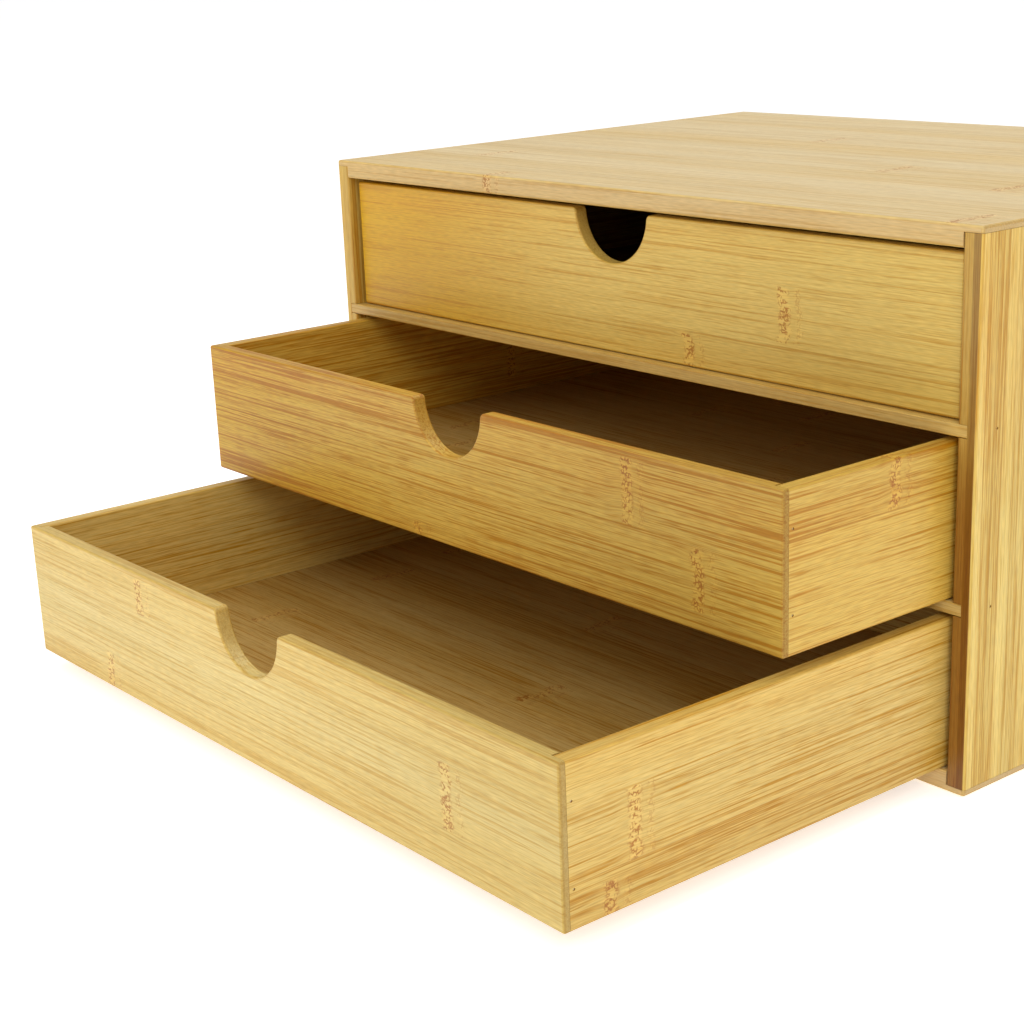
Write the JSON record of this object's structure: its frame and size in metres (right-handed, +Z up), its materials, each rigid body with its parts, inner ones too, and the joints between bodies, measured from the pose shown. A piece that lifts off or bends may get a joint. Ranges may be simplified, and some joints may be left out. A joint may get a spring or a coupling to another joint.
{
  "type": "desk organizer",
  "caption": "Bamboo desktop organizer: a rabbeted case with dividers and stacked sliding drawers, each with a half-round finger notch in its front.",
  "frame": {"origin": "middle of the case's underside, on the surface it stands on", "axes": "+Z up; the front faces -Y and the drawers pull out along -Y; +X is to the right for someone facing the front"},
  "size_m": [0.33, 0.3983, 0.18],
  "materials": {
    "bamboo_case": "clear-lacquered bamboo, satin",
    "bamboo_drawer": "clear-lacquered bamboo, satin",
    "bamboo_thin": "thin bamboo board, satin",
    "steel_pin": "bright steel"
  },
  "bodies": {
    "case": {"top_panel": "bamboo_case", "bottom_panel": "bamboo_case", "left_side_panel": "bamboo_case", "right_side_panel": "bamboo_case", "back_panel": "bamboo_thin", "lower_divider": "bamboo_thin", "upper_divider": "bamboo_thin", "lower_divider_left_front_pin": "steel_pin", "lower_divider_left_rear_pin": "steel_pin", "lower_divider_right_front_pin": "steel_pin", "lower_divider_right_rear_pin": "steel_pin", "upper_divider_left_front_pin": "steel_pin", "upper_divider_left_rear_pin": "steel_pin", "upper_divider_right_front_pin": "steel_pin", "upper_divider_right_rear_pin": "steel_pin"},
    "top_drawer": {"top_drawer_front": "bamboo_drawer", "top_drawer_left_side": "bamboo_drawer", "top_drawer_right_side": "bamboo_drawer", "top_drawer_back": "bamboo_drawer", "top_drawer_floor": "bamboo_thin", "top_drawer_front_left_lower_pin": "steel_pin", "top_drawer_front_left_upper_pin": "steel_pin", "top_drawer_front_right_lower_pin": "steel_pin", "top_drawer_front_right_upper_pin": "steel_pin", "top_drawer_back_left_lower_pin": "steel_pin", "top_drawer_back_left_upper_pin": "steel_pin", "top_drawer_back_right_lower_pin": "steel_pin", "top_drawer_back_right_upper_pin": "steel_pin"},
    "middle_drawer": {"middle_drawer_front": "bamboo_drawer", "middle_drawer_left_side": "bamboo_drawer", "middle_drawer_right_side": "bamboo_drawer", "middle_drawer_back": "bamboo_drawer", "middle_drawer_floor": "bamboo_thin", "middle_drawer_front_left_lower_pin": "steel_pin", "middle_drawer_front_left_upper_pin": "steel_pin", "middle_drawer_front_right_lower_pin": "steel_pin", "middle_drawer_front_right_upper_pin": "steel_pin", "middle_drawer_back_left_lower_pin": "steel_pin", "middle_drawer_back_left_upper_pin": "steel_pin", "middle_drawer_back_right_lower_pin": "steel_pin", "middle_drawer_back_right_upper_pin": "steel_pin"},
    "bottom_drawer": {"bottom_drawer_front": "bamboo_drawer", "bottom_drawer_left_side": "bamboo_drawer", "bottom_drawer_right_side": "bamboo_drawer", "bottom_drawer_back": "bamboo_drawer", "bottom_drawer_floor": "bamboo_thin", "bottom_drawer_front_left_lower_pin": "steel_pin", "bottom_drawer_front_left_upper_pin": "steel_pin", "bottom_drawer_front_right_lower_pin": "steel_pin", "bottom_drawer_front_right_upper_pin": "steel_pin", "bottom_drawer_back_left_lower_pin": "steel_pin", "bottom_drawer_back_left_upper_pin": "steel_pin", "bottom_drawer_back_right_lower_pin": "steel_pin", "bottom_drawer_back_right_upper_pin": "steel_pin"}
  },
  "joints": [
    {"name": "top_drawer_slide", "type": "slide", "parent": "case", "child": "top_drawer", "axis": [0, -1, 0], "range_m": [0, 0.19]},
    {"name": "middle_drawer_slide", "type": "slide", "parent": "case", "child": "middle_drawer", "axis": [0, -1, 0], "range_m": [-0.0768, 0.1132]},
    {"name": "bottom_drawer_slide", "type": "slide", "parent": "case", "child": "bottom_drawer", "axis": [0, -1, 0], "range_m": [-0.1618, 0.0282]}
  ]
}
